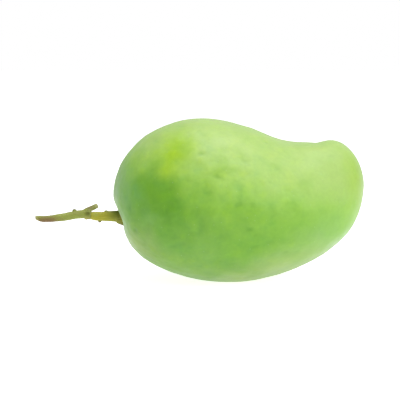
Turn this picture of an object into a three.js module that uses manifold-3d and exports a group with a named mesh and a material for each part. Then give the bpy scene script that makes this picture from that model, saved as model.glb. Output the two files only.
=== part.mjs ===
// A green mango, picked with its stalk and a short piece of the flower twig that it grew on.
//
// Millimetres, +Z up. The origin is the middle of the small flat spot that the fruit rests on.
// +X runs along the fruit, from the stalk end to the apex. The fruit lies on its rounded back
// edge, so its hollow side and its beak face up, and its two cheeks face -Y and +Y.
//
// Three pieces come apart on a bench: the fruit, its stalk, and the twig. The stalk ends in the
// shallow basin of the fruit, and its other end is jointed onto the swollen knuckle of the twig.

import * as THREE from "three";
import { mergeVertices } from "three/addons/utils/BufferGeometryUtils.js";
import Module from "manifold-3d";

const wasm = await Module();
wasm.setup();

// ---------------------------------------------------------------- driving dimensions

const FRUIT_LENGTH = 125; // from the stalk end to the apex
const FRUIT_HEIGHT = 81.5; // from the resting edge to the top of the shoulder
const FRUIT_THICKNESS = 74; // from cheek to cheek, halfway along
const REST_AT = 0.478; // where the fruit rests, as a share of its length from the stalk end
const REST_CUT = 0.65; // how much of the rounded back edge the flat spot takes off

const BASIN_DEPTH = 0.9; // the hollow around the stalk
const BASIN_RADIUS = 6.5;
const BASIN_TILT = 0.2; // how much the hollow's axis rises over its run into the fruit
const STALK_ROOT = 6; // how far the stalk's line is drawn into the fruit before it is cut off
const JOINT_GAP = 0.3; // clearance that neighbouring pieces keep

// ---------------------------------------------------------------- the fruit's shape

// The outline seen from the side, with the stalk end at 0 and the apex at 1 along the length,
// and the resting edge at 0 and the shoulder at 1 up the height.
const STALK_POLE = [0.012, 0.4];
const HOLLOW_SIDE = [
  [0.0, 0.58],
  [0.037, 0.74],
  [0.147, 0.91],
  [0.335, 1.0],
  [0.53, 0.951],
  [0.68, 0.863],
  [0.8, 0.852],
  [0.884, 0.865],
  [0.955, 0.785],
];
const APEX_POLE = [1.0, 0.6];
const BACK_EDGE = [
  [0.965, 0.365],
  [0.845, 0.174],
  [0.665, 0.044],
  [REST_AT, -REST_CUT / FRUIT_HEIGHT],
  [0.26, 0.037],
  [0.1, 0.165],
];

// How the cheeks swell from pole to pole. A plain ball would have 0 for all three.
const CHEEK_FULLNESS = 0.2; // how much fuller than a ball the cheeks are towards both poles
const THICK_AT_STALK = 0.12; // how much thicker the stalk half is than the apex half
const NARROW_ABOVE = 0.07; // how much narrower the hollow side is than the back

const FRUIT_SIDES = 56; // facets around the fruit
const FRUIT_RINGS = 40; // facets from pole to pole
const OUTLINE_STEPS = 60; // samples of the outline for each of its points

// ---------------------------------------------------------------- the stalk and the twig

// Each point is x, y, z and the radius there.
const STALK_LINE = [
  [-57.0, 0.0, 32.4, 3.4],
  [-59.2, 0.0, 32.4, 2.8],
  [-62.0, 0.1, 32.4, 2.45],
  [-65.5, 0.2, 32.2, 2.25],
  [-68.8, 0.1, 32.5, 2.15],
  [-71.8, 0.0, 33.1, 2.1],
];

// The twig rises from its torn end to the knuckle, and turns up there into a broken stub.
const TWIG_LINE = [
  [-98.2, -3.2, 31.4, 1.1],
  [-95.0, -2.9, 31.2, 1.4],
  [-90.5, -2.3, 31.4, 1.6],
  [-85.0, -1.5, 32.1, 1.8],
  [-79.0, -0.7, 33.3, 2.0],
  [-75.2, -0.2, 33.5, 2.0],
  [-72.6, 0.1, 34.3, 2.0],
  [-70.4, 0.5, 36.1, 1.45],
  [-67.5, 1.1, 37.6, 1.3],
];

// Scars of fallen scales: a point on the surface, and the radius of the little nub.
const STALK_NUBS = [
  [-66.9, 0.0, 30.0, 0.6],
  [-63.3, 0.2, 34.8, 0.6],
];
const TWIG_NUBS = [
  [-79.4, -0.7, 35.4, 0.6],
  [-73.4, -0.3, 32.0, 0.7],
];

const STEM_SIDES = 14; // facets around a stem
const STEM_STEPS = 3; // facets along it for each of its points
const NUB_SIDES = 10;
const NUB_RINGS = 8;

// ---------------------------------------------------------------- geometry and solids

const WELD = 1e-4; // vertices closer than this are one

// A closed geometry as a solid that can be joined and cut.
function solidOf(geometry) {
  const welded = geometry.clone();
  welded.deleteAttribute("normal");
  welded.deleteAttribute("uv");
  const closed = mergeVertices(welded, WELD);
  return new wasm.Manifold(
    new wasm.Mesh({
      numProp: 3,
      vertProperties: closed.attributes.position.array,
      triVerts: new Uint32Array(closed.index.array),
    }),
  );
}

// A solid as a geometry.
function geometryOf(solid) {
  const { numProp, numVert, vertProperties, triVerts } = solid.getMesh();
  const places = new Float32Array(numVert * 3);
  for (let i = 0; i < numVert; i++) {
    places.set(vertProperties.subarray(i * numProp, i * numProp + 3), i * 3);
  }
  const geometry = new THREE.BufferGeometry();
  geometry.setAttribute("position", new THREE.BufferAttribute(places, 3));
  geometry.setIndex(new THREE.BufferAttribute(triVerts, 1));
  geometry.computeVertexNormals();
  return geometry;
}

// Moves each vertex of a geometry to the place that put(vertex) gives it.
function moved(geometry, put) {
  const position = geometry.attributes.position;
  const vertex = new THREE.Vector3();
  for (let i = 0; i < position.count; i++) {
    vertex.fromBufferAttribute(position, i);
    position.setXYZ(i, ...put(vertex));
  }
  return geometry;
}

// A solid that is larger all round by the joint gap, to cut a neighbour with.
function cutterFor(solid) {
  const geometry = geometryOf(solid);
  const { position, normal } = geometry.attributes;
  for (let i = 0; i < position.count; i++) {
    position.setXYZ(
      i,
      position.getX(i) + JOINT_GAP * normal.getX(i),
      position.getY(i) + JOINT_GAP * normal.getY(i),
      position.getZ(i) + JOINT_GAP * normal.getZ(i),
    );
  }
  return solidOf(geometry);
}

// The largest body of a solid, without the slivers that a cut can leave beyond a joint.
function mainBody(solid) {
  return solid.decompose().sort((a, b) => b.volume() - a.volume())[0];
}

// ---------------------------------------------------------------- fruit

// The outline is one smooth closed line in the XZ plane. It starts at the stalk pole, and runs
// over the hollow side to the apex pole, and back along the edge that the fruit rests on.
const outlinePoints = [STALK_POLE, ...HOLLOW_SIDE, APEX_POLE, ...BACK_EDGE].map(
  ([along, up]) =>
    new THREE.Vector3((along - REST_AT) * FRUIT_LENGTH, 0, up * FRUIT_HEIGHT),
);
const outline = new THREE.CatmullRomCurve3(outlinePoints, true, "centripetal");
outline.arcLengthDivisions = outlinePoints.length * OUTLINE_STEPS;

const apexStep = (1 + HOLLOW_SIDE.length) * OUTLINE_STEPS;
const apexShare = outline.getLengths()[apexStep] / outline.getLength();
const stalkPole = outline.getPointAt(0);
const inward = new THREE.Vector3(1, 0, BASIN_TILT).normalize();

// Half the thickness of the fruit, from 0 at one pole to 0 at the other.
function cheek(share) {
  const ball = Math.sin(Math.PI * share);
  const fuller = (1 - CHEEK_FULLNESS * ball * ball) / (1 - CHEEK_FULLNESS);
  const tapered = 1 + THICK_AT_STALK * Math.cos(Math.PI * share);
  return (FRUIT_THICKNESS / 2) * ball * fuller * tapered;
}

// A point of the skin. share runs from 0 at the stalk pole to 1 at the apex pole. up and side are
// the cosine and sine of the angle around the fruit, from the hollow side.
function skinPoint(share, up, side) {
  const above = outline.getPointAt(share * apexShare);
  const below = outline.getPointAt(1 - share * (1 - apexShare));
  const middle = above.clone().add(below).multiplyScalar(0.5);
  const rise = above.clone().sub(middle);
  const skin = middle.addScaledVector(rise, up);
  skin.y = cheek(share) * (1 - NARROW_ABOVE * up) * side;
  const away = skin.distanceTo(stalkPole) / BASIN_RADIUS;
  return skin.addScaledVector(inward, BASIN_DEPTH * Math.exp(-away * away));
}

// A ball whose poles become the stalk end and the apex, cut flat where the fruit rests.
function fruitSolid() {
  const ball = new THREE.SphereGeometry(1, FRUIT_SIDES, FRUIT_RINGS);
  moved(ball, ({ x, y, z }) => {
    const share = Math.acos(THREE.MathUtils.clamp(y, -1, 1)) / Math.PI;
    const around = Math.hypot(x, z);
    const atPole = around < WELD;
    return atPole
      ? skinPoint(Math.round(share), 0, 0)
      : skinPoint(share, x / around, -z / around);
  });
  const ground = new THREE.BoxGeometry(2 * FRUIT_LENGTH, 2 * FRUIT_LENGTH, FRUIT_HEIGHT);
  ground.translate(0, 0, -FRUIT_HEIGHT / 2);
  return solidOf(ball).subtract(solidOf(ground));
}

// ---------------------------------------------------------------- stalk and twig

// A round stem through [x, y, z, radius] points.
function stemSolid(points) {
  const line = new THREE.CatmullRomCurve3(
    points.map(([x, y, z]) => new THREE.Vector3(x, y, z)),
  );
  const girth = new THREE.CatmullRomCurve3(
    points.map(([, , , radius]) => new THREE.Vector3(radius, 0, 0)),
    false,
    "catmullrom",
  );
  const steps = (points.length - 1) * STEM_STEPS;
  const rod = new THREE.CylinderGeometry(1, 1, 1, STEM_SIDES, steps);
  const sideways = new THREE.Vector3(0, 1, 0);
  moved(rod, ({ x, y, z }) => {
    const share = THREE.MathUtils.clamp(y + 0.5, 0, 1);
    const along = line.getTangent(share);
    const first = sideways.clone().cross(along).normalize();
    const second = first.clone().cross(along);
    const radius = girth.getPoint(share).x;
    return line
      .getPoint(share)
      .addScaledVector(first, radius * x)
      .addScaledVector(second, radius * z);
  });
  return solidOf(rod);
}

function nubSolid([x, y, z, radius]) {
  const nub = new THREE.SphereGeometry(radius, NUB_SIDES, NUB_RINGS);
  nub.translate(x, y, z);
  return solidOf(nub);
}

function withNubs(stem, nubs) {
  return nubs.reduce((solid, nub) => solid.add(nubSolid(nub)), stem);
}

// The stalk starts inside the fruit, and is cut back to the basin at one end and to the twig's
// knuckle at the other.
function stalkSolid(fruit, twig) {
  const [x, y, z, radius] = STALK_LINE[0];
  const whole = withNubs(stemSolid([[x + STALK_ROOT, y, z, radius], ...STALK_LINE]), STALK_NUBS);
  return mainBody(whole.subtract(cutterFor(fruit)).subtract(cutterFor(twig)));
}

// ---------------------------------------------------------------- assembly

function piece(name, solid, color, roughness) {
  const material = new THREE.MeshStandardMaterial({ color, roughness, metalness: 0 });
  const mesh = new THREE.Mesh(geometryOf(solid), material);
  mesh.name = name;
  return mesh;
}

const fruit = fruitSolid();
const twig = withNubs(stemSolid(TWIG_LINE), TWIG_NUBS);
const stalk = stalkSolid(fruit, twig);

const mango = new THREE.Group();
mango.add(
  piece("fruit", fruit, 0x9ccb62, 0.5),
  piece("stalk", stalk, 0x9a9a2e, 0.7),
  piece("twig", twig, 0x93a04a, 0.8),
);

export default mango;
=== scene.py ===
# %% [markdown]
# # A green mango with its stalk
# The fruit lies on its rounded back edge. Its stalk and a short piece of flower twig are still on
# it. The CAD model is the fixed frame: it says how long, how high and how thick the fruit is, and
# where the stalk grows out of it. This file keeps those sizes and makes the looks.

# %% Load the frame
import math

import bmesh
import bpy
from mathutils import Matrix, Vector, noise


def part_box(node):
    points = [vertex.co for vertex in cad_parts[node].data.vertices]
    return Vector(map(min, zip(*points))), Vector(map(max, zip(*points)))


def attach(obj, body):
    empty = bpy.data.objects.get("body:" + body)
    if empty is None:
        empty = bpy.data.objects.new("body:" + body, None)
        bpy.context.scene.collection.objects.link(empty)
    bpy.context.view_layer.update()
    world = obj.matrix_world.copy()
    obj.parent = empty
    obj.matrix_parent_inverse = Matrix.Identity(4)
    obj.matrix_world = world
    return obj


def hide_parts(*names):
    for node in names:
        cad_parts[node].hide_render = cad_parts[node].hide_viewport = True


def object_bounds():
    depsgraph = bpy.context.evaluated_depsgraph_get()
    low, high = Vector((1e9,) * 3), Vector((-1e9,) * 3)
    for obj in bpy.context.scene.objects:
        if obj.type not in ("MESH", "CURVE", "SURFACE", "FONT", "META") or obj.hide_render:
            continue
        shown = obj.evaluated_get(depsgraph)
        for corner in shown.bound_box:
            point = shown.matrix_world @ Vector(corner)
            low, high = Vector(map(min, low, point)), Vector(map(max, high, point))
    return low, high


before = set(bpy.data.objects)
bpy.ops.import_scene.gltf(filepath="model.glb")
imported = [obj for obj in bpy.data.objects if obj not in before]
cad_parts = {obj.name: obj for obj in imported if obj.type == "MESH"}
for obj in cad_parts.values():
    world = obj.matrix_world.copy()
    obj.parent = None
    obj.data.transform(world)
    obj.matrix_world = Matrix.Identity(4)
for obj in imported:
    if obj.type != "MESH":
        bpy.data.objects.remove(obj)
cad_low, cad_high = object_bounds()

MM = 0.001  # one millimetre, in metres
middle = (cad_low + cad_high) / 2
print("CAD box, mm:", [round(side / MM, 1) for side in cad_high - cad_low])

# %% [markdown]
# ## Camera
# A long lens from nearly level with the fruit keeps its outline true, as in a product shot. It
# could be an orthographic camera, but a little perspective makes the cheek look round. The
# picture is 200 mm wide where the fruit stands, so the distance follows from the lens.

# %% Camera
LENS = 120  # mm
SENSOR = 36  # mm
PICTURE_WIDTH = 200 * MM  # at the fruit
CAMERA_LIFT = math.radians(7)  # how far the camera looks down
AIM_DROP = 0.2 * MM  # how far below the middle of the box the camera aims

camera = bpy.data.objects.new("camera", bpy.data.cameras.new("camera"))
camera.data.lens = LENS
camera.data.sensor_width = SENSOR
distance = PICTURE_WIDTH * LENS / SENSOR
away = Vector((0, -math.cos(CAMERA_LIFT), math.sin(CAMERA_LIFT)))
camera.location = Vector((middle.x, 0, middle.z - AIM_DROP)) + away * distance
camera.rotation_euler = (-away).to_track_quat("-Z", "Y").to_euler()
camera.data.clip_start = 10 * MM
camera.data.clip_end = 100
bpy.context.scene.collection.objects.link(camera)
bpy.context.scene.camera = camera
print("camera distance, mm:", round(distance / MM))

# %% [markdown]
# ## Studio
# A fruit on a white sweep is lit by a strong soft box overhead, two weaker ones from the right,
# and by the white surroundings. The floor glows a little, like a light table, so that it stays
# pale even under the fruit. Floor and surroundings are brighter to the camera than they are as
# lights.

# %% Lamps
bpy.context.scene.view_settings.view_transform = "Standard"


def soft_box(name, place, size, power):
    """A square lamp that faces the fruit. Place and size are in metres, power is in watts."""
    light = bpy.data.lights.new(name, "AREA")
    light.shape = "SQUARE"
    light.size = size
    light.energy = power
    lamp = bpy.data.objects.new(name, light)
    lamp.location = place
    lamp.rotation_euler = (middle - Vector(place)).to_track_quat("-Z", "Y").to_euler()
    lamp.visible_camera = False
    bpy.context.scene.collection.objects.link(lamp)
    return lamp


soft_box("overhead", (0.1, -0.05, 0.95), 0.7, 7.6)
soft_box("front_right", (0.75, -0.85, 0.6), 0.7, 2.4)
soft_box("right", (0.95, -0.35, 0.75), 0.7, 1.8)
print("lamps:", [lamp.name for lamp in bpy.data.lights])

# %% White surroundings
SURROUND_LIGHT = 0.33

world = bpy.data.worlds.new("white_studio")
bpy.context.scene.world = world
world.use_nodes = True
nodes, links = world.node_tree.nodes, world.node_tree.links
nodes.clear()
seen = nodes.new("ShaderNodeBackground")
seen.inputs["Color"].default_value = (1, 1, 1, 1)
glow = nodes.new("ShaderNodeBackground")
glow.inputs["Color"].default_value = (0.97, 0.99, 1, 1)
glow.inputs["Strength"].default_value = SURROUND_LIGHT
path = nodes.new("ShaderNodeLightPath")
choose = nodes.new("ShaderNodeMixShader")
world_out = nodes.new("ShaderNodeOutputWorld")
links.new(path.outputs["Is Camera Ray"], choose.inputs["Fac"])
links.new(glow.outputs["Background"], choose.inputs[1])
links.new(seen.outputs["Background"], choose.inputs[2])
links.new(choose.outputs["Shader"], world_out.inputs["Surface"])

# %% Floor
FLOOR_SIDE = 8  # m
FLOOR_GLOW = 0.45
FLOOR_GLOW_SEEN = 0.82

sweep = bmesh.new()
bmesh.ops.create_grid(sweep, x_segments=1, y_segments=1, size=FLOOR_SIDE / 2)
floor_mesh = bpy.data.meshes.new("floor")
sweep.to_mesh(floor_mesh)
sweep.free()
floor = bpy.data.objects.new("floor", floor_mesh)
bpy.context.scene.collection.objects.link(floor)
paper = bpy.data.materials.new("white_paper")
paper.use_nodes = True
paper_shader = paper.node_tree.nodes["Principled BSDF"]
paper_shader.inputs["Base Color"].default_value = (0.86, 0.86, 0.86, 1)
paper_shader.inputs["Roughness"].default_value = 0.9
paper_shader.inputs["Specular IOR Level"].default_value = 0.1
paper_shader.inputs["Emission Color"].default_value = (1, 1, 1, 1)
floor_path = paper.node_tree.nodes.new("ShaderNodeLightPath")
floor_glow = paper.node_tree.nodes.new("ShaderNodeMapRange")
floor_glow.inputs["To Min"].default_value = FLOOR_GLOW
floor_glow.inputs["To Max"].default_value = FLOOR_GLOW_SEEN
paper.node_tree.links.new(floor_path.outputs["Is Camera Ray"], floor_glow.inputs["Value"])
paper.node_tree.links.new(floor_glow.outputs["Result"], paper_shader.inputs["Emission Strength"])
floor_mesh.materials.append(paper)
print("floor side, m:", FLOOR_SIDE)

# %% [markdown]
# ## Effects that the finishes share
# Fruit, stalk and twig grew on one tree, so their finishes use the same few effects, each with
# its own values: a soft patch of another colour, cloudy mottles, small dots, and fibres that run
# along a stem. Each effect is a node group, made once. All of them read places in metres. A
# patch's reach is in metres too, and the other sizes are in millimetres.

# %% Node helpers
class Nodes:
    """Makes nodes in a tree and links them, so that a finish reads like a recipe."""

    def __init__(self, tree):
        self.tree = tree

    def add(self, kind, settings=None, **inputs):
        node = self.tree.nodes.new("ShaderNode" + kind)
        for name, value in (settings or {}).items():
            setattr(node, name, value)
        for name, value in inputs.items():
            self.feed(node.inputs[name.replace("_", " ")], value)
        return node

    def feed(self, socket, value):
        if isinstance(value, bpy.types.NodeSocket):
            self.tree.links.new(value, socket)
        elif value is not None:
            socket.default_value = value

    def math(self, operation, first, second=None):
        node = self.add("Math", {"operation": operation})
        self.feed(node.inputs[0], first)
        self.feed(node.inputs[1], second)
        return node.outputs[0]

    def vector(self, operation, first, second=None):
        node = self.add("VectorMath", {"operation": operation})
        self.feed(node.inputs[0], first)
        self.feed(node.inputs[1], second)
        return node.outputs["Value" if operation == "LENGTH" else "Vector"]

    def ease(self, value, start, end, low=0.0, high=1.0):
        """low up to start, high from end on, and a smooth slope between them."""
        node = self.add("MapRange", {"interpolation_type": "SMOOTHSTEP"}, Value=value)
        for name, number in zip(
            ("From Min", "From Max", "To Min", "To Max"), (start, end, low, high)
        ):
            self.feed(node.inputs[name], number)
        return node.outputs["Result"]

    def mix(self, fac, below, above, blend="MIX"):
        node = self.add("Mix", {"data_type": "RGBA", "blend_type": blend})
        self.feed(node.inputs["Factor"], fac)
        self.feed(node.inputs[6], below)
        self.feed(node.inputs[7], above)
        return node.outputs[2]

    def group(self, tree, **inputs):
        node = self.add("Group", {"node_tree": tree}, **inputs)
        return node.outputs[0]


def new_group(name, inputs, output):
    """An empty node group with float or vector inputs and one float output."""
    tree = bpy.data.node_groups.new(name, "ShaderNodeTree")
    for label, kind in inputs.items():
        tree.interface.new_socket(label, in_out="INPUT", socket_type="NodeSocket" + kind)
    tree.interface.new_socket(output, in_out="OUTPUT", socket_type="NodeSocketFloat")
    entry = tree.nodes.new("NodeGroupInput")
    end = tree.nodes.new("NodeGroupOutput")
    return Nodes(tree), entry.outputs, end.inputs[output]


# %% Soft patch
make, given, result = new_group(
    "soft_patch", {"Place": "Vector", "Centre": "Vector", "Reach": "Vector"}, "Mask"
)
offset = make.vector("SUBTRACT", given["Place"], given["Centre"])
shares = make.vector("DIVIDE", offset, given["Reach"])
make.feed(result, make.ease(make.vector("LENGTH", shares), 1.0, 0.0))
soft_patch = make.tree

# %% Mottle
make, given, result = new_group(
    "mottle", {"Place": "Vector", "Size": "Float", "Contrast": "Float"}, "Shade"
)
per_metre = make.math("DIVIDE", 1 / MM, given["Size"])
cloud = make.add("TexNoise", Vector=given["Place"], Scale=per_metre, Detail=2.0, Roughness=0.5)
swing = make.math("SUBTRACT", cloud.outputs["Fac"], 0.5)
make.feed(result, make.math("ADD", make.math("MULTIPLY", swing, given["Contrast"]), 0.5))
mottle = make.tree

# %% Dots
make, given, result = new_group(
    "dots", {"Place": "Vector", "Spacing": "Float", "Width": "Float"}, "Mask"
)
per_metre = make.math("DIVIDE", 1 / MM, given["Spacing"])
cells = make.add("TexVoronoi", Vector=given["Place"], Scale=per_metre, Randomness=0.85)
half = make.math("DIVIDE", make.math("MULTIPLY", given["Width"], 0.5), given["Spacing"])
edge = make.math("MULTIPLY", half, 0.45)
make.feed(result, make.ease(cells.outputs["Distance"], half, edge))
dots = make.tree

# %% Fibres
make, given, result = new_group(
    "fibres", {"Place": "Vector", "Width": "Float", "Length": "Float"}, "Shade"
)
per_metre = make.math("DIVIDE", 1 / MM, given["Width"])
squeeze = make.add("CombineXYZ", Y=1.0, Z=1.0)
make.feed(squeeze.inputs["X"], make.math("DIVIDE", given["Width"], given["Length"]))
drawn_out = make.vector("MULTIPLY", given["Place"], squeeze.outputs["Vector"])
strand = make.add("TexNoise", Vector=drawn_out, Scale=per_metre, Detail=3.0, Roughness=0.6)
make.feed(result, make.ease(strand.outputs["Fac"], 0.3, 0.7))
fibres = make.tree
print("shared effects:", [tree.name for tree in bpy.data.node_groups])

# %% [markdown]
# ## Skin
# An unripe mango is pale yellow-green on its upper side, and a deeper leaf green towards
# its stalk. A greyish bloom of wax lies over parts of it, and fine pale pores are spread over
# all of it. A picture painted on the fruit could show this, but patterns made from the place on
# the fruit work on every side, without a seam. So the colour runs from the lower to the upper
# side first: partly the skin's own colour, partly painted shade and light, darker below and paler
# on top as the overhead lamp makes it, and paler again at the very bottom as painted floor light.
# Soft patches change it where the real skin does, one paints shade into the stalk's seat, and
# mottles come next. Small hollows get painted shade and small humps a painted highlight, in place
# of the dents' shading: the mesh carries an attribute that says how deep each point lies. Last
# comes a pale painted sheen where the skin turns away from the eye, standing for wax at an angle.

# %% Skin, colours and places
def spot(x, y, z):
    """A place, or a reach, in the shared frame, given in millimetres."""
    return (x * MM, y * MM, z * MM)


DEEP_GREEN = (0.12, 0.34, 0.012, 1)
LEAF_GREEN = (0.18, 0.41, 0.025, 1)
LIME = (0.34, 0.565, 0.008, 1)
FRESH_GREEN = (0.34, 0.56, 0.09, 1)
SEA_GREEN = (0.28, 0.51, 0.19, 1)
DAMP_GREEN = (0.15, 0.41, 0.09, 1)
OLIVE = (0.29, 0.40, 0.11, 1)
STRAW = (0.46, 0.58, 0.22, 1)
# pale colour of the pores, and of the painted sheen at the skin's edges
PALE_PORES_AND_SHEEN = (0.55, 0.70, 0.46, 1)
SEAT_SHADE = (0.14, 0.17, 0.05, 1)
# tints that the skin's colour is multiplied by: mottles warmer or cooler, painted shade in small
# hollows, and a painted highlight on small humps
WARM = (1.07, 1.03, 0.82, 1)
COOL = (0.90, 0.96, 1.10, 1)
SHADE_TINT = (0.79, 0.86, 0.83, 1)
HUMP_HIGHLIGHT_TINT = (1.12, 1.07, 1.10, 1)

# centre, reach, colour and strength of soft patches: the near cheek first, then the far one
SKIN_PATCHES = [
    (spot(-34, -30, 37), spot(27, 30, 27), DEEP_GREEN, 0.85),
    (spot(-33, -24, 51), spot(16, 28, 17), DEEP_GREEN, 0.8),
    (spot(-30, -26, 68), spot(15, 26, 17), LIME, 0.95),
    (spot(-25, -30, 55), spot(8, 20, 12), LIME, 0.25),
    (spot(-12, -34, 56), spot(20, 26, 18), FRESH_GREEN, 0.5),
    (spot(5, -30, 23), spot(24, 26, 14), LEAF_GREEN, 0.6),
    (spot(-58, -14, 47), spot(15, 26, 24), SEA_GREEN, 0.8),
    (spot(-49, -26, 46), spot(9, 22, 14), DAMP_GREEN, 0.6),
    (spot(-41, -26, 33), spot(10, 24, 9), SEA_GREEN, 0.25),
    (spot(46, -22, 23), spot(26, 30, 16), SEA_GREEN, 0.35),
    (spot(-47, -13, 20), spot(24, 34, 16), OLIVE, 0.75),
    (spot(36, -14, -1), spot(51, 60, 35), STRAW, 1.0),
    (spot(62, -8, 60), spot(9, 24, 24), LIME, 0.4),
    (spot(62, -12, 42), spot(11, 24, 16), LIME, 0.3),
    (spot(0, -20, 0), spot(24, 44, 11), STRAW, 0.6),
    # painted shade in the crease of the stalk's seat
    (spot(-58, 0, 31), spot(4, 16, 6), SEAT_SHADE, 0.8),
    (spot(22, 30, 30), spot(34, 28, 26), DEEP_GREEN, 0.6),
    (spot(-20, 30, 58), spot(22, 26, 20), LIME, 0.6),
    (spot(-44, 22, 34), spot(26, 26, 30), LEAF_GREEN, 0.6),
]
# how high up the fruit, from 0 at the table to 1 at the top, and the colour there: partly the
# skin's own colour, partly painted shade below and painted light on top, and the paler first stop
# is painted light from the floor
SKIN_RISE_AND_PAINTED_SHADE = [
    (0.0, (0.27, 0.47, 0.10, 1)),
    (0.15, (0.19, 0.39, 0.065, 1)),
    (0.32, (0.18, 0.40, 0.04, 1)),
    (0.48, (0.23, 0.48, 0.045, 1)),
    (0.6, (0.31, 0.56, 0.09, 1)),
    (0.74, (0.38, 0.585, 0.14, 1)),
    (0.92, (0.39, 0.57, 0.15, 1)),
]
RISE_PER_METRE = 3.0  # towards the apex the skin takes its colour from this much higher up
DRIFT_SIZE = 16 * MM  # the patches' edges wander on waves of this size
DRIFT = 16 * MM  # and by up to half of this to either side
LEAFY_SHARE = 0.45  # how green the broad mottles get
FINE_SWING = 0.025  # how much paler or darker the finest mottles are
# depths where the small hollows get the most painted shade and the small humps the most painted
# highlight
SHADED_DEPTH = 0.3  # mm, where a hollow is darkest
HUMP_HIGHLIGHT_HEIGHT = 0.16  # mm, where a hump is palest
PORE_SHARE = 0.15
# centre and reach of the part of the cheeks where the skin is most uneven
UNEVEN_PART = {"Centre": spot(-18, 0, 39), "Reach": spot(78, 200, 58)}
# the wax here is a pale painted sheen, mixed into the colour where the skin turns away from the
# eye
SHEEN_FROM = 0.42  # how far the skin turns away before the wax shows
SHEEN_SHARE, SHEEN_SHARE_ON_TOP = 0.5, 0.3
# centre and reach of the part near the stalk and the table where the painted sheen is halved
SHEEN_HALVED_PART = {"Centre": spot(-44, -10, 10), "Reach": spot(46, 70, 30)}


def new_finish(name):
    material = bpy.data.materials.new(name)
    material.use_nodes = True
    shader = material.node_tree.nodes["Principled BSDF"]
    return material, Nodes(material.node_tree), shader


# %% Skin, rise and patches
skin, make, shader = new_finish("mango_skin")
place = make.add("TexCoord").outputs["Object"]
drift = make.add("TexNoise", Vector=place, Scale=1 / DRIFT_SIZE, Detail=2.0)
shift = make.vector("MULTIPLY", drift.outputs["Color"], (DRIFT, DRIFT, DRIFT))
wavy = make.vector(
    "ADD", place, make.vector("SUBTRACT", shift, (DRIFT / 2, DRIFT / 2, DRIFT / 2))
)

height = make.add("SeparateXYZ", Vector=wavy).outputs
share = make.math("DIVIDE", height["Z"], cad_high.z)
slant = make.math("MULTIPLY", height["X"], RISE_PER_METRE)
rise = make.math("ADD", share, slant)
# colour from low to high: partly the skin's own, partly painted shade and painted light
skin_and_shade_ramp = make.add("ValToRGB", Fac=rise)
stops = skin_and_shade_ramp.color_ramp.elements
for stop in SKIN_RISE_AND_PAINTED_SHADE[1:-1]:
    stops.new(stop[0])
for element, (where, tint) in zip(stops, SKIN_RISE_AND_PAINTED_SHADE):
    element.position = where
    element.color = tint
colour = skin_and_shade_ramp.outputs["Color"]
for centre, reach, tint, strength in SKIN_PATCHES:
    mask = make.group(soft_patch, Place=wavy, Centre=centre, Reach=reach)
    colour = make.mix(make.math("MULTIPLY", mask, strength), colour, tint)

# %% Skin, mottles and hollows
uneven_part = make.group(soft_patch, Place=place, **UNEVEN_PART)
uneven = make.ease(uneven_part, 0.0, 0.7, 0.25, 1.0)
broad = make.group(mottle, Place=wavy, Size=9.0, Contrast=1.2)
medium = make.group(mottle, Place=place, Size=6.0, Contrast=1.4)
fine = make.group(mottle, Place=place, Size=1.5, Contrast=1.0)
leafy = make.math("MULTIPLY", make.ease(broad, 0.5, 0.9, 0.0, LEAFY_SHARE), uneven)
colour = make.mix(leafy, colour, LEAF_GREEN)
warmer = make.math("MULTIPLY", make.ease(medium, 0.5, 0.9), uneven)
cooler = make.math("MULTIPLY", make.ease(medium, 0.5, 0.1), uneven)
colour = make.mix(warmer, colour, WARM, "MULTIPLY")
colour = make.mix(cooler, colour, COOL, "MULTIPLY")
paler = make.ease(fine, 0.2, 0.8, 1 - FINE_SWING, 1 + FINE_SWING)
colour = make.mix(1.0, colour, paler, "MULTIPLY")
# painted shade in the small hollows and a painted highlight on the small humps, in place of the
# dents' own shading
hollow = make.add("Attribute", {"attribute_name": "hollow"}).outputs["Fac"]
shaded = make.ease(hollow, 0.0, SHADED_DEPTH, 0.0, 0.85)
colour = make.mix(shaded, colour, SHADE_TINT, "MULTIPLY")
painted_highlight = make.ease(hollow, 0.02, -HUMP_HIGHLIGHT_HEIGHT, 0.0, 0.7)
colour = make.mix(painted_highlight, colour, HUMP_HIGHLIGHT_TINT, "MULTIPLY")

# %% Skin, pores and painted sheen
pores = make.group(dots, Place=place, Spacing=3.4, Width=0.7)
colour = make.mix(make.math("MULTIPLY", pores, PORE_SHARE), colour, PALE_PORES_AND_SHEEN)
# painted sheen: pale colour mixed in by viewing angle, standing for wax seen at a grazing angle
turned_away = make.add("LayerWeight", Blend=0.5).outputs["Facing"]
strength = make.ease(share, 0.5, 1.0, SHEEN_SHARE, SHEEN_SHARE_ON_TOP)
sheen_halved_part = make.group(soft_patch, Place=place, **SHEEN_HALVED_PART)
strength = make.math("MULTIPLY", strength, make.ease(sheen_halved_part, 0.0, 1.0, 1.0, 0.5))
painted_sheen = make.math("MULTIPLY", make.ease(turned_away, SHEEN_FROM, 1.0), strength)
colour = make.mix(painted_sheen, colour, PALE_PORES_AND_SHEEN)
make.feed(shader.inputs["Base Color"], colour)

# %% Skin, gloss and grain
make.feed(shader.inputs["Roughness"], make.ease(broad, 0.2, 0.8, 0.42, 0.56))
grain = make.group(mottle, Place=place, Size=0.7, Contrast=0.6)
relief = make.math("ADD", make.math("MULTIPLY", pores, 0.5), grain)
bump = make.add("Bump", Strength=0.5, Distance=0.06 * MM, Height=relief)
make.feed(shader.inputs["Normal"], bump.outputs["Normal"])
shader.inputs["IOR"].default_value = 1.42
shader.inputs["Subsurface Weight"].default_value = 0.12
shader.inputs["Subsurface Radius"].default_value = (0.6, 1.0, 0.3)
shader.inputs["Subsurface Scale"].default_value = 3 * MM
print("skin patches:", len(SKIN_PATCHES), "and skin nodes:", len(make.tree.nodes))

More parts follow.
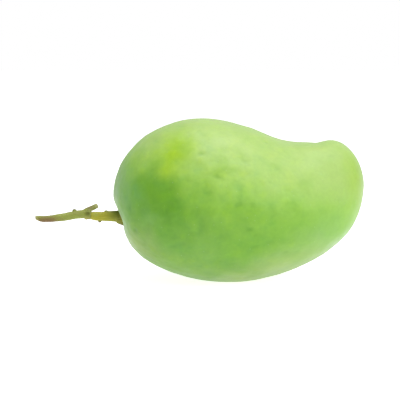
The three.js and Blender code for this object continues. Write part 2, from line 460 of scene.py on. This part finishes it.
# %% [markdown]
# ## From the CAD solid to a skin
# The CAD fruit has facets a few millimetres wide. Subdivision alone would round them, but its
# squares would be large on the cheeks and tiny at both ends. So the copy is merged, rounded by
# subdivision, and rebuilt from even little squares, and later dents and ripples come out the same
# size all over. One more subdivision gives squares of two thirds of a millimetre.

# %% Mesh helpers
def piece_of(name, build):
    """Turns a bmesh into an object in the scene."""
    mesh = bpy.data.meshes.new(name)
    build.to_mesh(mesh)
    build.free()
    piece = bpy.data.objects.new(name, mesh)
    bpy.context.scene.collection.objects.link(piece)
    return piece


def merged_copy(name, node):
    """A copy of a CAD node with its triangles joined up into one skin of mostly squares."""
    build = bmesh.new()
    build.from_mesh(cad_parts[node].data)
    bmesh.ops.remove_doubles(build, verts=build.verts, dist=0.001 * MM)
    bmesh.ops.join_triangles(
        build, faces=build.faces, angle_face_threshold=0.6, angle_shape_threshold=1.2
    )
    return piece_of(name, build)


def add_subdivision(piece, levels):
    subdivision = piece.modifiers.new("round", "SUBSURF")
    subdivision.levels = levels
    subdivision.render_levels = levels


def add_remesh(piece, square, smoothing):
    remesh = piece.modifiers.new("even squares", "REMESH")
    remesh.mode = "VOXEL"
    remesh.voxel_size = square
    smooth = piece.modifiers.new("ease", "SMOOTH")
    smooth.factor = 0.5
    smooth.iterations = smoothing


def apply_modifiers(piece):
    """Puts what the modifiers make into the mesh itself."""
    ready = piece.evaluated_get(bpy.context.evaluated_depsgraph_get())
    mesh = bpy.data.meshes.new_from_object(ready)
    mesh.name = piece.name
    piece.modifiers.clear()
    piece.data = mesh
    mesh.shade_smooth()


def push(piece, amount):
    """Moves each point along its normal by what amount(point) gives, in metres."""
    moves = [vertex.normal * amount(vertex.co) for vertex in piece.data.vertices]
    for vertex, move in zip(piece.data.vertices, moves):
        vertex.co += move
    piece.data.update()


# %% Fruit, even skin
SKIN_SQUARE = 1.3 * MM

fruit = merged_copy("mango_fruit", "fruit")
add_subdivision(fruit, 2)
add_remesh(fruit, SKIN_SQUARE, 6)
add_subdivision(fruit, 1)
apply_modifiers(fruit)
fruit.data.materials.clear()
fruit.data.materials.append(skin)
print("fruit skin squares:", len(fruit.data.polygons))

# %% [markdown]
# ## Dents and the stalk's seat
# The flesh under the skin makes it swell and dip by a few tenths of a millimetre, and small dents
# are scattered over the cheeks. Round the stalk the skin draws in to a basin with a low lip and
# a few creases. These could be faked with bump, but moved points show in the outline too. Where
# the fruit rests the ripples fade out, so that it stays nearly flat. How deep a point lies in the
# small ripples and dents is kept in the attribute that the skin's colour reads.

# %% Fruit, dents and seat
stalk_low, stalk_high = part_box("stalk")
stalk_end = Vector((stalk_low.x, 0, (stalk_low.z + stalk_high.z) / 2))
_, seat, _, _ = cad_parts["fruit"].ray_cast(stalk_end, Vector((1, 0, 0)))

SWELLS = [(30, 0.4), (11, 0.28)]  # size and depth of broad ripples, mm
RIPPLES = [(5, 0.3), (2.2, 0.12)]  # and of small ones, where the skin is most uneven
CALM_BELOW = 4 * MM  # the ripples fade out from this height down to the table
DENT_SPACING = 5 * MM
DENT_WIDTH = 0.24  # as a share of the spacing
DENT_STRETCH = 1.6  # how much longer than high
DENT_DEPTH = 0.42  # mm, for the deepest ones
DENT_SHARE = 2.5  # the more, the more of the dents reach their full depth
DENT_SCATTER = 7.3  # sets which dents are deep
LIP_RADIUS, LIP_WIDTH, LIP_HEIGHT = 9 * MM, 2.2 * MM, 0.25  # height in mm
CREASE_RADIUS, CREASE_WIDTH, CREASE_DEPTH = 6 * MM, 2.4 * MM, 0.16  # depth in mm
CREASES = 6  # round the stalk
CREASE_TURN = 1  # shifts their wave round it, in radians of the wave
# place, reach along and across the fruit, and height of soft swellings and hollows, mm
SWELLINGS = [
    ((seat.x / MM, 0, seat.z / MM - 1.2), 7.0, 14, -2.6),
    ((63, 0, 60), 14, 40, 0.65),
    ((44, 0, 13), 14, 60, 0.5),
    ((-43, 0, 11), 9, 60, -0.45),
    ((36, 0, 68), 5, 12, 0.35),
    ((41.8, 0, 69), 2.5, 6, -0.45),
]
uneven_middle = Vector((-18, 0, 37)) * MM
UNEVEN_ALONG, UNEVEN_UP = 43 * MM, 28 * MM
EVENEST = 0.3  # unevenness that is left far from the middle of the cheeks


def hump(away, reach):
    """1 at the middle of a soft hump, and close to 0 beyond its reach."""
    return math.exp(-((away / reach) ** 2))


def swelling(point):
    """Height of the soft swellings and hollows that the outline shows, in mm."""
    total = 0
    for place, along, across, height in SWELLINGS:
        out = point - Vector(place) * MM
        total += height * hump(math.hypot(out.x, out.z), along * MM) * hump(out.y, across * MM)
    return total


def dent(point):
    """Small dents scattered over the skin, from 0 for none to 1 for the deepest."""
    squeezed = Vector((point.x / DENT_STRETCH, point.y, point.z))
    distances, centres = noise.voronoi(squeezed / DENT_SPACING)
    depth = min(1, DENT_SHARE * max(0, noise.noise(centres[0] * DENT_SCATTER)))
    return depth * hump(distances[0], DENT_WIDTH)


def ripple(point, sizes):
    """Height of ripples of the given sizes and depths, in mm."""
    return sum(depth * noise.noise(point / (size * MM)) for size, depth in sizes)


def unevenness(point):
    """1 on the middle of the cheeks, and less towards the beak, the back and the belly."""
    out = point - uneven_middle
    return EVENEST + (1 - EVENEST) * hump(out.x, UNEVEN_ALONG) * hump(out.z, UNEVEN_UP)


def small_relief(point):
    """Height of the small ripples and dents, in mm."""
    return (ripple(point, RIPPLES) - DENT_DEPTH * dent(point)) * unevenness(point)


def skin_relief(point):
    """How far the skin stands out at a point, in metres."""
    calm = min(1, point.z / CALM_BELOW)
    out = point - seat
    turn = math.atan2(out.z, out.y)
    lip = LIP_HEIGHT * hump(out.length - LIP_RADIUS, LIP_WIDTH)
    crease = CREASE_DEPTH * hump(out.length - CREASE_RADIUS, CREASE_WIDTH)
    crease *= math.cos(CREASES * turn + CREASE_TURN)
    relief = (ripple(point, SWELLS) + small_relief(point)) * calm + lip + crease
    return (relief + swelling(point)) * MM


# the skin's colour reads this depth to paint shade into hollows and a highlight onto humps
hollows = fruit.data.attributes.new("hollow", "FLOAT", "POINT")
for vertex, hollow in zip(fruit.data.vertices, hollows.data):
    hollow.value = -small_relief(vertex.co)
push(fruit, skin_relief)
print("seat of the stalk, mm:", [round(side / MM, 1) for side in seat])

# %% [markdown]
# ## Stems
# A stem is a limb that gets thinner and thicker along its way. A curve with a bevel could make
# it, but a circle that is pushed out ring by ring stays one closed mesh, and several limbs and
# scars can then be melted into one skin by the remesh. Ridges run along it, as its fibres do.

# %% Limbs
LIMB_SIDES = 16
STEM_SQUARE = 0.15 * MM
RIDGE_SPACING, RIDGE_HEIGHT = 0.9 * MM, 0.11  # height in mm
RIDGE_STRETCH = 0.13  # a lump's size across the stem, as a share of its length
ROUGH_SPACING, ROUGH_HEIGHT = 0.7 * MM, 0.04  # height in mm


def limb(build, route):
    """Adds a closed round limb to a bmesh. A stop has its offset from the seat and radius, mm."""
    places = [seat + Vector(offset) * MM for offset, radius in route]
    rings = []
    for index, (place, (offset, radius)) in enumerate(zip(places, route)):
        ahead = places[min(index + 1, len(places) - 1)] - places[max(index - 1, 0)]
        turn = ahead.to_track_quat("Z", "Y").to_matrix().to_4x4()
        rings.append(Matrix.Translation(place) @ turn @ Matrix.Scale(radius * MM, 4))
    first = bmesh.ops.create_circle(
        build, cap_ends=True, segments=LIMB_SIDES, radius=1, matrix=rings[0]
    )
    face = first["verts"][0].link_faces[0]
    for here, there in zip(rings, rings[1:]):
        grown = bmesh.ops.extrude_face_region(build, geom=[face])
        face = next(part for part in grown["geom"] if isinstance(part, bmesh.types.BMFace))
        bmesh.ops.transform(build, matrix=there @ here.inverted(), verts=face.verts)


def scar(build, offset, radius):
    """Adds the little nub that a fallen scale leaves on a stem."""
    bmesh.ops.create_icosphere(
        build,
        subdivisions=2,
        radius=radius * MM,
        matrix=Matrix.Translation(seat + Vector(offset) * MM) @ Matrix.Diagonal((1.2, 1, 0.9, 1)),
    )


def grow(name, build, square, finish):
    """Melts the limbs and scars of a bmesh into one stem with a fine, even skin."""
    bmesh.ops.recalc_face_normals(build, faces=build.faces)
    stem = piece_of(name, build)
    add_subdivision(stem, 2)
    add_remesh(stem, square, 4)
    apply_modifiers(stem)
    stem.data.materials.clear()
    stem.data.materials.append(finish)
    print(name, "squares:", len(stem.data.polygons))
    return stem


def ridges(point):
    """Ridges of a stem: lumps that are drawn out along X."""
    drawn_out = Vector((point.x * RIDGE_STRETCH, point.y, point.z))
    coarse = noise.noise(drawn_out / RIDGE_SPACING)
    rough = noise.noise(point / ROUGH_SPACING)
    return (RIDGE_HEIGHT * coarse + ROUGH_HEIGHT * rough) * MM


# %% [markdown]
# ## Finish of the stems
# Both stems are green where they are young and brown where they are bruised or corky, and a few
# patches paint shade or a highlight where the stems meet the fruit and each other. One function
# makes both finishes: fibres first, then soft patches, then pale specks. Two separate materials
# would also do, but they would repeat the same recipe.

# %% Stem finish
STEM_GREEN = (0.29, 0.35, 0.048, 1)
STEM_LIGHT = (0.36, 0.41, 0.10, 1)
STALK_YELLOW = (0.42, 0.39, 0.03, 1)
STALK_OLIVE = (0.19, 0.215, 0.02, 1)
FOOT_DARK_AND_SHADE = (0.085, 0.10, 0.008, 1)
FOOT_GAP_SHADOW = (0.12, 0.12, 0.055, 1)
SEAM_DARK = (0.11, 0.115, 0.012, 1)
TWIG_BROWN = (0.20, 0.115, 0.048, 1)
STUB_BROWN = (0.24, 0.19, 0.10, 1)
JOINT_YELLOW = (0.36, 0.30, 0.08, 1)
# pale colour of broken wood and specks, and of painted highlights at the crotch
PALE_WOOD_AND_HIGHLIGHT = (0.52, 0.49, 0.24, 1)
SCAR_BROWN = (0.10, 0.085, 0.045, 1)
SCAR_GREY = (0.24, 0.28, 0.15, 1)


def stem_finish(name, base, fibre_tint, patches):
    """A finish for stems: fibres along it, specks, and patches given by offset and reach, mm."""
    material, make, shader = new_finish(name)
    place = make.add("TexCoord").outputs["Object"]
    strands = make.group(fibres, Place=place, Width=0.5, Length=5.0)
    colour = make.mix(make.math("MULTIPLY", strands, 0.5), base, fibre_tint)
    cloud = make.group(mottle, Place=place, Size=1.6, Contrast=1.0)
    for offset, reach, tint, strength in patches:
        centre = seat + Vector(offset) * MM
        mask = make.group(
            soft_patch, Place=place, Centre=tuple(centre), Reach=tuple(Vector(reach) * MM)
        )
        rough_edge = make.math("MULTIPLY", mask, make.ease(cloud, 0.2, 0.6, 0.75, 1.0))
        colour = make.mix(make.math("MULTIPLY", rough_edge, strength), colour, tint)
    specks = make.group(dots, Place=place, Spacing=1.3, Width=0.35)
    colour = make.mix(make.math("MULTIPLY", specks, 0.2), colour, PALE_WOOD_AND_HIGHLIGHT)
    make.feed(shader.inputs["Base Color"], colour)
    make.feed(shader.inputs["Roughness"], make.ease(cloud, 0.2, 0.8, 0.55, 0.75))
    relief = make.math("ADD", strands, make.math("MULTIPLY", specks, 0.6))
    bump = make.add("Bump", Strength=0.6, Distance=0.08 * MM, Height=relief)
    make.feed(shader.inputs["Normal"], bump.outputs["Normal"])
    shader.inputs["Specular IOR Level"].default_value = 0.35
    return material


# %% [markdown]
# ## Stalk
# The fruit's own stalk is short and fleshy. It spreads to a foot in the seat, where it is darkest,
# partly by its own colour and partly by painted shade, with a painted shadow in the gap below it.
# It goes into the twig's knuckle at its other end. A straight cone could stand for it, but the
# flared foot and the nubs are what make it look grown.

# %% Stalk
# offset from the seat and radius, mm
STALK_ROUTE = [
    ((2.0, 0.0, 0.2), 2.8),
    ((-0.5, 0.0, 0.2), 2.95),
    ((-1.8, 0.0, 0.2), 2.85),
    ((-4.6, 0.1, 0.2), 2.7),
    ((-8.1, 0.2, 0.0), 2.4),
    ((-11.4, 0.1, 0.2), 2.3),
    ((-13.4, 0.0, 0.5), 2.1),
    ((-15.8, 0.0, 1.0), 1.3),
]
FOOT_ROUTE = [
    ((4.4, 0.0, 1.0), 3.9),
    ((2.7, 0.0, 0.0), 4.7),
    ((1.5, 0.0, -0.4), 4.3),
    ((0.2, 0.0, -0.3), 3.4),
    ((-1.5, 0.0, 0.0), 2.9),
]
STALK_SCARS = [((-9.5, 0.0, -2.4), 0.8), ((-6.2, 0.2, 2.4), 1.0)]

stalk_skin = stem_finish(
    "green_stalk",
    STALK_YELLOW,
    (0.33, 0.32, 0.03, 1),
    [
        # offset from the seat, reach, colour, strength
        ((-1.5, -1, 1), (6.5, 7, 6), STALK_OLIVE, 0.95),
        # the foot: darker by its own colour and by painted shade in the basin, then a painted
        # shadow in the gap below it
        ((1.6, 0, -0.6), (4.6, 9, 9), FOOT_DARK_AND_SHADE, 0.95),
        ((1.8, 0, -4.2), (2.8, 6, 3.0), FOOT_GAP_SHADOW, 0.8),
        ((-9.5, 0, -3.0), (2.2, 2.6, 2.2), SCAR_BROWN, 0.95),
        ((-5.9, 0.2, 3.2), (2.2, 2.4, 1.4), SCAR_GREY, 0.85),
        ((-11.5, -2, 1.2), (2.4, 2.4, 1.4), STEM_LIGHT, 0.5),
        # a painted highlight on the stalk's end at the crotch
        ((-13.4, -1, 2.6), (1.5, 2.2, 0.9), PALE_WOOD_AND_HIGHLIGHT, 0.8),
        ((-14.6, -2, 0.4), (1.6, 3, 2.4), SEAM_DARK, 0.7),
    ],
)
build = bmesh.new()
limb(build, STALK_ROUTE)
limb(build, FOOT_ROUTE)
for offset, radius in STALK_SCARS:
    scar(build, offset, radius)
stalk = grow("mango_stalk", build, STEM_SQUARE, stalk_skin)
push(stalk, ridges)

# %% [markdown]
# ## Twig
# The twig is a piece of the branched flower stem. It comes from its torn end to a swollen knuckle
# where the stalk is jointed on, and a broken side twig stands up there. The side twig could be a
# piece of its own, stuck on, but as a second limb it melts into the first and forks as wood does.

# %% Twig
TWIG_ROUTE = [
    ((-41.2, -3.2, -0.1), 0.7),
    ((-40.3, -3.2, -0.5), 1.35),
    ((-37.6, -2.9, -0.9), 1.6),
    ((-33.1, -2.3, -0.7), 1.8),
    ((-27.6, -1.5, -0.1), 2.0),
    ((-21.6, -0.7, 1.0), 2.1),
    ((-17.6, -0.2, 1.3), 2.2),
    ((-15.3, 0.0, 1.0), 2.45),
    ((-14.1, 0.0, 0.8), 2.25),
    ((-13.7, 0.0, 0.8), 1.5),
]
STUB_ROUTE = [
    ((-18.6, -0.2, 1.6), 1.2),
    ((-16.4, 0.0, 2.7), 1.6),
    ((-13.4, 0.5, 4.2), 1.35),
    ((-11.4, 1.0, 5.1), 1.2),
    ((-10.7, 1.1, 5.4), 1.25),
    ((-10.5, 1.1, 5.5), 0.9),
]
TWIG_SCARS = [((-22.1, -0.7, 3.1), 0.95), ((-16.2, -0.3, -0.8), 0.9)]

twig_skin = stem_finish(
    "twig_bark",
    STEM_GREEN,
    STUB_BROWN,
    [
        ((-35.0, -3.8, -2.2), (10, 5, 4.4), TWIG_BROWN, 1.0),
        ((-36.5, -3.8, -2.2), (8, 5, 3.4), TWIG_BROWN, 0.8),
        ((-28.5, -2.5, 1.5), (5, 3, 1.2), STEM_LIGHT, 0.7),
        ((-19.5, -2.0, -1.0), (5, 3, 1.3), STEM_LIGHT, 0.8),
        ((-14.4, 0.0, 4.6), (3.6, 3, 2.2), STUB_BROWN, 0.9),
        # a painted highlight at the crotch
        ((-13.2, -1.0, 3.3), (3.2, 2, 0.8), PALE_WOOD_AND_HIGHLIGHT, 0.6),
        ((-10.3, 0.5, 5.6), (2.8, 3, 2.6), PALE_WOOD_AND_HIGHLIGHT, 1.0),
        ((-22.1, -0.7, 3.7), (1.7, 1.8, 1.2), SCAR_BROWN, 0.9),
        ((-15.2, -2.0, 1.9), (2.8, 2.8, 2.0), SEAM_DARK, 1.0),
        ((-15.2, -1.8, -1.0), (3.0, 3.0, 1.7), JOINT_YELLOW, 0.9),
        ((-13.8, -1.5, 0.6), (0.8, 3.0, 2.6), PALE_WOOD_AND_HIGHLIGHT, 0.7),
        ((-41.0, -3.2, -0.4), (1.4, 3, 3), PALE_WOOD_AND_HIGHLIGHT, 0.7),
    ],
)
build = bmesh.new()
limb(build, TWIG_ROUTE)
limb(build, STUB_ROUTE)
for offset, radius in TWIG_SCARS:
    scar(build, offset, radius)
twig = grow("mango_twig", build, STEM_SQUARE, twig_skin)
push(twig, ridges)

# %% [markdown]
# ## Torn end
# The twig was torn off, so its fibres break at different lengths. They could be modelled one by
# one, but at this size it is enough to move the points of the end along the twig.

# %% Torn end of the twig
TEAR = 1.8 * MM  # how far the torn fibres stand out or break short
TEAR_SLOPE = 0.75  # the upper fibres tore off longer than the lower ones
TEAR_START = 1.8 * MM  # how far before the tip the tear begins
TEAR_FULL = 1.2 * MM  # how far on it is fully torn
FIBRE = 0.7 * MM  # across one torn strand
tip = seat + Vector(TWIG_ROUTE[0][0]) * MM
for vertex in twig.data.vertices:
    torn = min(1, (tip.x + TEAR_START - vertex.co.x) / TEAR_FULL)
    if torn > 0:
        across = Vector((0, vertex.co.y, vertex.co.z)) / FIBRE
        slope = TEAR_SLOPE * (tip.z - vertex.co.z)
        vertex.co.x += torn * (TEAR * noise.noise(across) + slope)
twig.data.update()
print("twig's free end, mm:", round(min(vertex.co.x for vertex in twig.data.vertices) / MM, 1))

# %% [markdown]
# ## Into the frame
# Each finished piece rides on the fruit's one body and stands for its CAD node, which is hidden.

# %% Join the pieces to the frame
for piece, node, finish in [
    (fruit, "fruit", "mango_skin"),
    (stalk, "stalk", "green_stalk"),
    (twig, "twig", "twig_bark"),
]:
    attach(piece, "root")
    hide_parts(node)
